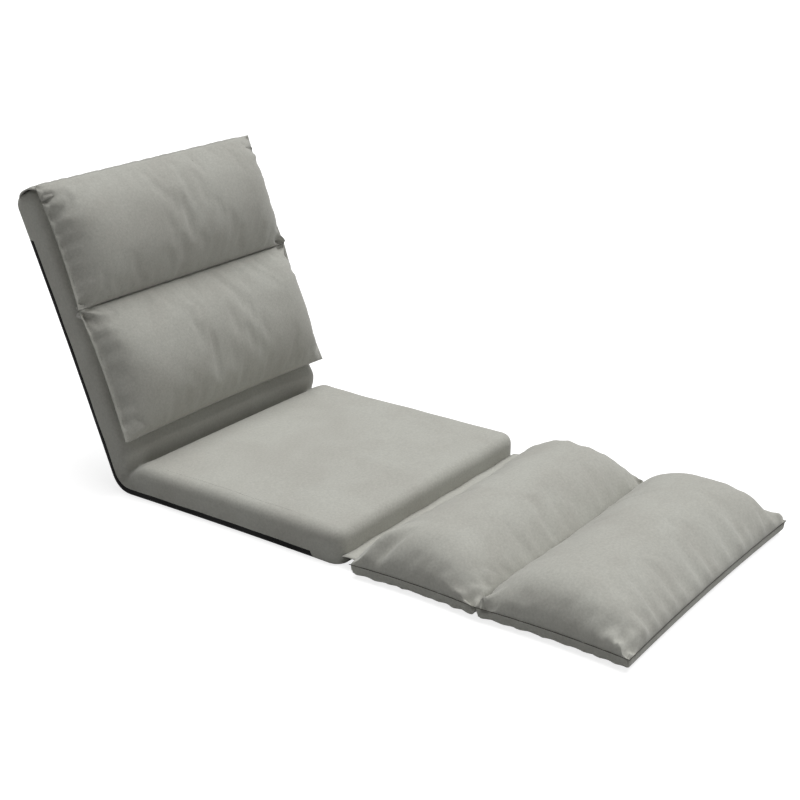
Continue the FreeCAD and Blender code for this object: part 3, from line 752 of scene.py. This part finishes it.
# %% [markdown]
# A cloth simulation with pressure inside swells the upper panel a little. The
# lower panel and the seams are held, and the result is baked.

# %% Swelling by simulation


def blow_up(thing, held, cap, frames=12, pressure=3.0, spare=0.012):
    """Cloth simulation of a closed channel: held points stay, the rest swells.

    Spare is the share of extra cloth, and cap the furthest that a point moves.
    """
    scene = bpy.context.scene
    before = np.array([v.co for v in thing.data.vertices])
    group = thing.vertex_groups.new(name="held")
    group.add([int(i) for i in np.nonzero(held)[0]], 1.0, "REPLACE")
    cloth = thing.modifiers.new("blow_up", "CLOTH")
    rules = cloth.settings
    rules.quality = 6
    rules.mass = 0.15
    rules.tension_stiffness = rules.compression_stiffness = 12
    rules.shear_stiffness = 6
    rules.bending_stiffness = 0.15
    rules.use_pressure = True
    rules.uniform_pressure_force = pressure
    rules.shrink_min = -spare
    rules.effector_weights.gravity = 0
    rules.vertex_group_mass = "held"
    cloth.point_cache.frame_start = 1
    cloth.point_cache.frame_end = frames
    for number in range(1, frames + 1):
        scene.frame_set(number)
    graph = bpy.context.evaluated_depsgraph_get()
    after = np.array([v.co for v in thing.evaluated_get(graph).data.vertices])
    thing.modifiers.clear()
    thing.vertex_groups.clear()
    scene.frame_set(1)
    move = after - before
    length = np.linalg.norm(move, axis=1, keepdims=True)
    move *= np.minimum(1.0, cap / np.maximum(length, 1e-9))
    thing.data.vertices.foreach_set("co", (before + move).ravel())
    thing.data.update()
    moved = min(float(length.max()), cap)
    print(thing.name, "swelled by up to", round(moved * 1000, 1), "mm")


def held_points(thing, panel, rim):
    """Which points of an object lie on one of its panels or on its rim."""
    fixed = {tuple(p) for p in np.round(np.concatenate((panel.reshape(-1, 3), rim)), 6)}
    points = np.round(np.array([v.co for v in thing.data.vertices]), 6)
    return np.array([tuple(p) in fixed for p in points])


# %% [markdown]
# One function dresses every channel: puckers along its seams, pinches at its
# corners, a slow unevenness and a small belly inside its seams. The leg pad has
# two, one puckered most next to the seat and one towards its front corners.

# %% The leg pad
MIDDLE_FADE = 0.1
HOLD_RUN = 0.005
BROAD_SIZE = 0.22
BELLY_WIDTH = 0.007
LOW_REACH = 0.03
RIM_WIDTH = 0.001
LEAST_PUCKER = 0.45
LEG_HALF = 0.293
SEAM_HEIGHT = 0.023
LEG_RISE = 0.070
LEG_HEIGHTS = (SEAM_HEIGHT, LEG_RISE, SEAM_HEIGHT)
FLAP_START = SEAT_LENGTH + 0.0009
LEG_REAR_SEAM = FLAP_START + 0.030
LEG_CREASE = LEG_REAR_SEAM + 0.250
LEG_FRONT_SEAM = LEG_CREASE + 0.273


def place_floor(p):
    """Room places of points given as across, along and height."""
    return on_floor(p[..., 0], p[..., 1], p[..., 2])


def place_back(p):
    """Room places of points given as across, up the backrest and out from it."""
    return on_back(p[..., 0], p[..., 1], p[..., 2])


def channel_marks(channel, x, along, seed, looks):
    """Height of all puckers and pinches of a channel's upper panel."""
    t, s = channel.shares()
    marks = np.zeros_like(x)
    for side in (-1, 1):
        share = (s * side > 0) * smooth(abs(s) / MIDDLE_FADE)
        marks += share * pleats(2 * channel.reach, along - channel.centre, channel.from_side(),
                                looks["side_count"], looks["side_depth"], looks["side_reach"],
                                seed + side, looks["slant"], looks["side_strong"])
    for side, depth in ((-1, looks["first_depth"]), (1, looks["last_depth"])):
        share = (t * side > 0) * smooth(abs(t) / MIDDLE_FADE)
        marks += share * pleats(2 * channel.half, x, channel.from_end(), looks["end_count"],
                                depth, looks["end_reach"], seed + 5 + side, 0.15)
    for side in (-1, 1):
        for end, depth in looks["pinches"]:
            corner = (side * channel.half, channel.first if end < 0 else channel.last)
            marks += pinch(x, along, corner, looks["pinch_reach"], depth, seed + 9 + side + end)
    return marks


def dressed_channel(name, channel, place, seed, looks):
    """A channel with puckers along its seams, pinched corners and a broad unevenness."""
    upper, lower = channel.panels()
    t, s = channel.shares()
    x, along = upper[..., 0].copy(), upper[..., 1].copy()
    from_side, from_end = channel.from_side(), channel.from_end()
    hold = smooth(channel.from_edge() / HOLD_RUN)
    marks = channel_marks(channel, x, along, seed, looks)
    broad = looks["broad"] * ripple(upper * (1, 1, 0), BROAD_SIZE, seed + 4)
    upper[..., 2] = upper[..., 2] + hold * marks + broad * channel.fullness()
    for panel, spread in ((upper, 0.5), (lower, 1.0)):
        side_belly = np.sign(s) * (hold * looks["belly"] * spread)
        end_belly = (t > 0) * looks["front_belly"] * spread * hold
        panel[..., 0] += side_belly * hill(from_side - BELLY_WIDTH, BELLY_WIDTH)
        panel[..., 1] += end_belly * hill(from_end - BELLY_WIDTH, BELLY_WIDTH)
    low_marks = pleats(2 * channel.reach, along - channel.centre, from_side, 8, looks["belly"],
                       LOW_REACH, seed + 7, 0.0)
    lower[..., 0] += np.sign(s) * hold * low_marks * hill(from_side, LOW_REACH)
    rows, columns = x.shape
    points = np.concatenate((place(upper).reshape(-1, 3), place(lower).reshape(-1, 3)))
    faces = np.concatenate((quads(rows, columns),
                            quads(rows, columns, rows * columns, flip=True)))
    thing = cloth_object(name, points, faces, GREY_CLOTH)
    edit_mesh(thing, look_outwards)
    rim = place(upper[channel.from_edge() < channel.flange + RIM_WIDTH])
    blow_up(thing, held_points(thing, place(lower), rim), cap=looks["cap"])
    return thing


def near_rear(share):
    """Deep puckers on the stretch next to the seat, shallow ones elsewhere."""
    return LEAST_PUCKER + 0.9 * max(0.0, -share)


def near_front(share):
    """Deep puckers towards the front corners."""
    return LEAST_PUCKER + 0.6 * max(0.0, share)


LEG_LOOKS = dict(
    side_count=9, side_depth=0.0095, side_reach=0.055, slant=0.75, side_strong=near_rear,
    end_count=13, first_depth=0.0035, last_depth=0.0020, end_reach=0.045,
    pinches=((1, 0.018),), pinch_reach=0.030, broad=0.0022, belly=0.0045, front_belly=0.0,
    cap=0.007)
FRONT_LOOKS = dict(
    LEG_LOOKS, side_depth=0.0080, slant=0.25, side_strong=near_front, end_count=15,
    first_depth=0.0016, last_depth=0.0065, pinches=((-1, 0.018), (1, 0.012)),
    front_belly=0.004)

rear = Channel(LEG_HALF, LEG_REAR_SEAM, LEG_CREASE, LEG_HEIGHTS, pulls=(0.006, -0.001))
front = Channel(LEG_HALF, LEG_CREASE, LEG_FRONT_SEAM, LEG_HEIGHTS, pulls=(-0.001, 0.006))
leg_rear = dressed_channel("leg_rear_cushion", rear, place_floor, 11, LEG_LOOKS)
leg_front = dressed_channel("leg_front_cushion", front, place_floor, 23, FRONT_LOOKS)
print("leg pad:", len(leg_rear.data.polygons) + len(leg_front.data.polygons), "faces")

# %% [markdown]
# The flap is a plain strip of the cover cloth. It is sewn under the seat's
# front edge and into the leg pad's rear seam, and lets the pad fold up.

# %% The flap
FLAP_HALF = 0.274
FLAP_RUN = 0.036
FLAP_TUCK = 0.0015
FLAP_SINK = 0.003
FLAP_ARCH = 0.002
FLAP_WAVE, FLAP_WAVE_TURN = 0.0008, 60
FLAP_THICK = 0.0012


def flap_piece():
    """A thin strip with a slight wave, nearly as wide as the seat."""
    run, across = np.linspace(0, 1, 9), np.linspace(-1, 1, 61)
    grid_r, grid_x = np.meshgrid(run, across, indexing="ij")
    x = grid_x * FLAP_HALF
    along = FLAP_START + grid_r * FLAP_RUN - FLAP_TUCK
    arch = FLAP_ARCH * np.sin(grid_r * math.pi)
    height = SEAM_HEIGHT - FLAP_SINK + arch + FLAP_WAVE * np.sin(x * FLAP_WAVE_TURN)
    strip = cloth_object("leg_flap_cloth", on_floor(x, along, height).reshape(-1, 3),
                         quads(len(run), len(across)), GREY_CLOTH)
    return thicken(strip, FLAP_THICK)


flap = flap_piece()
print("flap:", len(flap.data.polygons), "faces")

# %% [markdown]
# The pillow is one long case. Its lower channel hangs free, a stitched crease
# runs across it, and its upper channel ends at the top of the backrest. Its
# sides end in a flat flange, and its puckers are deepest near each top.

# %% The pillow
PILLOW_HALF = 0.290
PILLOW_LOW = 0.073
PILLOW_CREASE = 0.330
PILLOW_SEAM = 0.062
PILLOW_RISE = 0.052
PILLOW_DROP = 0.0165
PILLOW_HEIGHTS = (PILLOW_SEAM, PILLOW_RISE, PILLOW_DROP)
PILLOW_FLANGE = 0.009
PILLOW_LOOKS = dict(
    LEG_LOOKS, side_count=8, side_depth=0.0050, side_reach=0.040, slant=0.0,
    side_strong=near_front, end_count=9, first_depth=0.0016, last_depth=0.0022,
    pinches=((1, 0.014),), broad=0.0026, belly=0.0015, cap=0.0045)
UPPER_LOOKS = dict(
    PILLOW_LOOKS, side_depth=0.0110, first_depth=0.0022, last_depth=0.0,
    pinches=((-1, 0.014),))

lower_channel = Channel(PILLOW_HALF, PILLOW_LOW, PILLOW_CREASE, PILLOW_HEIGHTS,
                        pulls=(0.004, -0.001), flange=PILLOW_FLANGE)
upper_channel = Channel(PILLOW_HALF, PILLOW_CREASE, BACK_LENGTH, PILLOW_HEIGHTS,
                        pulls=(-0.001, 0.0), flange=PILLOW_FLANGE)
pillow_lower = dressed_channel("pillow_lower_cushion", lower_channel, place_back, 41, PILLOW_LOOKS)
pillow_upper = dressed_channel("pillow_upper_cushion", upper_channel, place_back, 57, UPPER_LOOKS)
print("pillow:", len(pillow_lower.data.polygons) + len(pillow_upper.data.polygons), "faces")

# %% [markdown]
# At the top the case goes on as a wrap that rolls over the backrest's rounded
# edge and is sewn down on its rear: a path in side view, drawn out across the
# chair. It narrows towards its tail and is gathered by small folds.

# %% The wrap
WRAP_PATH = np.array((
    (0.540, 0.086), (0.558, 0.070), (0.5695, 0.045), (0.5710, 0.025), (0.5705, 0.002),
    (0.566, -0.014), (0.556, -0.0210), (0.540, -0.0217), (0.522, -0.0217)))
WRAP_ROWS, WRAP_COLUMNS = 33, 97
WRAP_INSET = 0.004
WRAP_NARROWING = 0.022
WRAP_FOLDS, WRAP_FOLD_DEPTH, WRAP_FOLD_REACH = 22, 0.0012, 0.05
WRAP_REACH_BEHIND = 0.06
WRAP_TAIL = 0.9
WRAP_SIDE_DIP, WRAP_SIDE_WIDTH = 0.004, 0.010
WRAP_THICK = 0.002
ROUNDING_PASSES = 6


def wrap_line():
    """Even steps along the wrap's path in side view, with its corners rounded."""
    lengths = np.linalg.norm(np.diff(WRAP_PATH, axis=0), axis=1)
    step = np.concatenate(([0], np.cumsum(lengths)))
    even = np.linspace(0, step[-1], WRAP_ROWS)
    up = np.interp(even, step, WRAP_PATH[:, 0])
    out = np.interp(even, step, WRAP_PATH[:, 1])
    for _ in range(ROUNDING_PASSES):
        for line in (up, out):
            line[1:-1] = (line[:-2] + 2 * line[1:-1] + line[2:]) / 4
    return up, out


def wrap_piece():
    """Cloth that rolls from the pillow's top over the backrest and down behind."""
    up, out = wrap_line()
    across = np.linspace(-1, 1, WRAP_COLUMNS)
    grid_u, grid_x = np.meshgrid(up, across, indexing="ij")
    grid_o = np.meshgrid(out, across, indexing="ij")[0]
    behind = smooth(np.arange(WRAP_ROWS) / (WRAP_ROWS - 1) * 1.6 - 0.5)[:, None]
    half = PILLOW_HALF - WRAP_INSET - WRAP_NARROWING * behind
    x = grid_x * half
    from_side = (1 - abs(grid_x)) * half
    proud = (grid_o - PILLOW_SEAM) * rounded_end(from_side)
    grid_o = np.where(grid_o > PILLOW_SEAM, PILLOW_SEAM + proud, grid_o)
    inward = np.broadcast_to(WRAP_REACH_BEHIND * behind, x.shape)
    gather = pleats(2 * PILLOW_HALF, x, inward, WRAP_FOLDS, WRAP_FOLD_DEPTH,
                    WRAP_FOLD_REACH, 91, 0.0)
    dip = WRAP_SIDE_DIP * hill(from_side, WRAP_SIDE_WIDTH)
    grid_u = grid_u + np.where(behind < WRAP_TAIL, gather, 0.0) - dip
    sheet = cloth_object("pillow_wrap_cloth", on_back(x, grid_u, grid_o).reshape(-1, 3),
                         quads(WRAP_ROWS, WRAP_COLUMNS), GREY_CLOTH)
    return thicken(sheet, WRAP_THICK)


wrap = wrap_piece()

# %% [markdown]
# The pillow's edge is a flat flange, sewn through with a row of short stitches,
# and the leg pad's panels meet in a sunk seam. Every stitch is the same small
# bead of thread, so a node setup lays them: it walks a line in equal steps and
# turns each bead along it. Close near-black beads along the sunk seam are
# painted shade: they darken it as its shadow would.

# %% Stitches and painted seam shade
STITCH_INSET = 0.0070
STITCH_LIFT = 0.0006
SEAM_SIZES = {"Pitch": 0.0030, "Length": 0.0040, "Thread": 0.0016}


def stitch_nodes():
    """Beads of thread at a pitch along every edge line of a mesh."""
    group = bpy.data.node_groups.new("stitches", "GeometryNodeTree")
    face = group.interface
    face.new_socket("Geometry", in_out="INPUT", socket_type="NodeSocketGeometry")
    for name, default in (("Pitch", 0.0045), ("Length", 0.0032), ("Thread", 0.0007)):
        face.new_socket(name, in_out="INPUT", socket_type="NodeSocketFloat").default_value = default
    face.new_socket("Material", in_out="INPUT", socket_type="NodeSocketMaterial")
    face.new_socket("Geometry", in_out="OUTPUT", socket_type="NodeSocketGeometry")
    inside = put(group, "NodeGroupInput").outputs
    line = put(group, "GeometryNodeMeshToCurve", inputs={"Mesh": inside["Geometry"]})
    steps = put(group, "GeometryNodeResampleCurve", mode="LENGTH",
                inputs={"Curve": line.outputs[0], "Length": inside["Pitch"]})
    bead = put(group, "GeometryNodeMeshIcoSphere", inputs={"Radius": 0.5, "Subdivisions": 1})
    size = put(group, "ShaderNodeCombineXYZ",
               inputs={"X": inside["Thread"], "Y": inside["Thread"], "Z": inside["Length"]})
    tangent = put(group, "GeometryNodeInputTangent")
    turn = put(group, "FunctionNodeAlignEulerToVector", axis="Z",
               inputs={"Vector": tangent.outputs[0]})
    laid = put(group, "GeometryNodeInstanceOnPoints",
               inputs={"Points": steps.outputs[0], "Instance": bead.outputs[0],
                       "Rotation": turn.outputs[0], "Scale": size.outputs[0]})
    real = put(group, "GeometryNodeRealizeInstances", inputs={"Geometry": laid.outputs[0]})
    dyed = put(group, "GeometryNodeSetMaterial",
               inputs={"Geometry": real.outputs[0], "Material": inside["Material"]})
    group.links.new(dyed.outputs[0], put(group, "NodeGroupOutput").inputs[0])
    return group


def sewn_line(points, edges, line):
    """Adds one line of points, joined by edges, to the lists."""
    edges += [(len(points) + i, len(points) + i + 1) for i in range(len(line) - 1)]
    points += [tuple(p) for p in line]


def flange_rows():
    """The sewn rows on the flanges of both channels of the pillow."""
    points, edges = [], []
    for channel in (lower_channel, upper_channel):
        upper = channel.panels()[0]
        s, inward = channel.shares()[1][0], channel.from_side()[0]
        for side in (-1, 1):
            column = int(np.argmin(abs(inward - STITCH_INSET) + (s * side < 0)))
            sewn_line(points, edges, place_back(upper[2:-2, column] + (0, 0, STITCH_LIFT)))
    return points, edges


def seam_rows(channel, front_too):
    """The seam round a leg channel: both sides, and the front edge where it has one."""
    points, edges = [], []
    upper = channel.panels()[0]
    for column, side in ((0, -1), (-1, 1)):
        sewn_line(points, edges, place_floor(upper[:, column] + (side * STITCH_LIFT, 0, 0)))
    if front_too:
        sewn_line(points, edges, place_floor(upper[-1, :] + (0, STITCH_LIFT, 0)))
    return points, edges


def sewn(name, rows, thread, sizes):
    """Lays beads along rows of points and bakes them into one mesh: thread, or painted seam shade.
    """
    mesh = bpy.data.meshes.new(name)
    mesh.from_pydata(rows[0], rows[1], [])
    thing = add_object(name, mesh)
    sewing = thing.modifiers.new("sewing", "NODES")
    sewing.node_group = STITCHES
    values = dict(sizes, Material=thread)
    for item in STITCHES.interface.items_tree:
        if item.in_out == "INPUT" and item.name in values:
            sewing[item.identifier] = values[item.name]
    return finish_modifiers(thing)


STITCHES = stitch_nodes()
stitches = sewn("pillow_stitches", flange_rows(), THREAD, {})
# Near-black beads along the leg pad's sunk seams are painted shade, not thread.
painted_shade_rear = sewn("leg_rear_painted_seam_shade", seam_rows(rear, False), SEAM_PAINTED_SHADE, SEAM_SIZES)
painted_shade_front = sewn("leg_front_painted_seam_shade", seam_rows(front, True), SEAM_PAINTED_SHADE, SEAM_SIZES)
print("stitches:", len(stitches.data.polygons), "faces")

# %% [markdown]
# What the cover hides is still a real chair: foam, steel tube and hinge plates
# keep the measured shape and only need believable finishes.

# %% Finishes of the hidden parts
DARK_SHARE = 0.8
FINE_RELIEF = 0.0005
GLOSS_SPREAD = 0.08


def plain_material(name, colour, metallic, roughness, scale, bump):
    """A finish with fine uneven colour and relief."""
    material, tree, out = new_material(name)
    place = put(tree, "ShaderNodeTexCoord").outputs["Object"]
    noise = put(tree, "ShaderNodeTexNoise",
                inputs={"Vector": place, "Scale": scale, "Detail": 4.0})
    dark = [c * DARK_SHARE for c in colour]
    tone = put(tree, "ShaderNodeMix", data_type="RGBA",
               inputs={0: noise.outputs[0], 6: (*dark, 1), 7: (*colour, 1)})
    relief = put(tree, "ShaderNodeBump",
                 inputs={"Strength": bump, "Distance": FINE_RELIEF, "Height": noise.outputs[0]})
    rough = put(tree, "ShaderNodeMapRange",
                inputs={0: noise.outputs[0], "To Min": roughness - GLOSS_SPREAD,
                        "To Max": roughness + GLOSS_SPREAD})
    body = put(tree, "ShaderNodeBsdfPrincipled",
               inputs={"Base Color": tone.outputs[2], "Metallic": metallic,
                       "Roughness": rough.outputs[0], "Normal": relief.outputs[0]})
    tree.links.new(body.outputs[0], out.inputs["Surface"])
    return material


# Each finish: its name, colour, metal or not, roughness, grain scale and relief.
HIDDEN_FINISHES = {
    "seat_foam": ("cream_foam", (0.80, 0.74, 0.55), 0.0, 0.9, 700.0, 0.5),
    "under_foam": ("grey_foam", (0.45, 0.45, 0.47), 0.0, 0.9, 600.0, 0.5),
    "fibre_fill": ("white_fibre", (0.85, 0.85, 0.83), 0.0, 0.95, 300.0, 0.6),
    "frame_steel": ("black_painted_tube", (0.03, 0.03, 0.03), 0.0, 0.4, 250.0, 0.1),
    "hinge_plate": ("zinc_plated_plate", (0.60, 0.60, 0.57), 1.0, 0.35, 900.0, 0.15),
    "ratchet_steel": ("hardened_steel", (0.45, 0.45, 0.45), 1.0, 0.4, 1200.0, 0.15),
    "spring_steel": ("blued_spring_steel", (0.28, 0.30, 0.36), 1.0, 0.3, 900.0, 0.1),
    "rivet_steel": ("bright_rivet_steel", (0.66, 0.66, 0.64), 1.0, 0.3, 1500.0, 0.1),
}
FINISHES = {slot: plain_material(*finish) for slot, finish in HIDDEN_FINISHES.items()}
FINISHES.update(cover_cloth=GREY_CLOTH, base_cloth=BLACK_CLOTH)
slot_of = {part["node"]: part["material_slot"] for part in frame["record"]["subparts"]}
for name, node in frame["nodes"].items():
    node.data.materials.clear()
    node.data.materials.append(FINISHES[slot_of[name]])
print("finished nodes:", len(slot_of))

# %% [markdown]
# Last, the pillow's channels and stitches, and the leg pad's channels and their
# beads of painted seam shade, are attached to the bodies they move with. The
# cover, the base, the wrap and the flap stay where they lie in the room, and the
# measured parts that the new pieces replace are hidden.

# %% What moves with what


def spot(p):
    """A point as plain numbers."""
    return tuple(float(v) for v in p)


fold_start = spot(on_floor(0.0, 0.060, 0.020))
fold_end = spot(on_back(0.0, 0.060, 0.0))
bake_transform(chair_cover)
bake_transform(base_cloth)
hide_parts("seat_cover", "back_cover", "seat_foam", "back_foam",
            "seat_under_foam", "back_under_foam")
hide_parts("seat_base_cloth", "back_base_cloth")
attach(pillow_lower, "pillow")
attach(pillow_upper, "pillow")
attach(stitches, "pillow")
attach(painted_shade_rear, "leg_rear")
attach(painted_shade_front, "leg_front")
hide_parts("pillow_cover", "pillow_fill_lower")
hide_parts("pillow_fill_upper")
spot(on_back(0, 0.565, 0.02))
spot(on_back(0, 0.565, 0.06))
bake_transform(wrap)
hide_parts("pillow_wrap")
spot(on_floor(0, FLAP_START - 0.002, 0.02))
spot(on_floor(0, FLAP_START + 0.025, 0.02))
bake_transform(flap)
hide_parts("leg_flap")
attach(leg_rear, "leg_rear")
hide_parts("leg_rear_cover", "leg_rear_fill")
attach(leg_front, "leg_front")
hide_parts("leg_front_cover", "leg_front_fill")
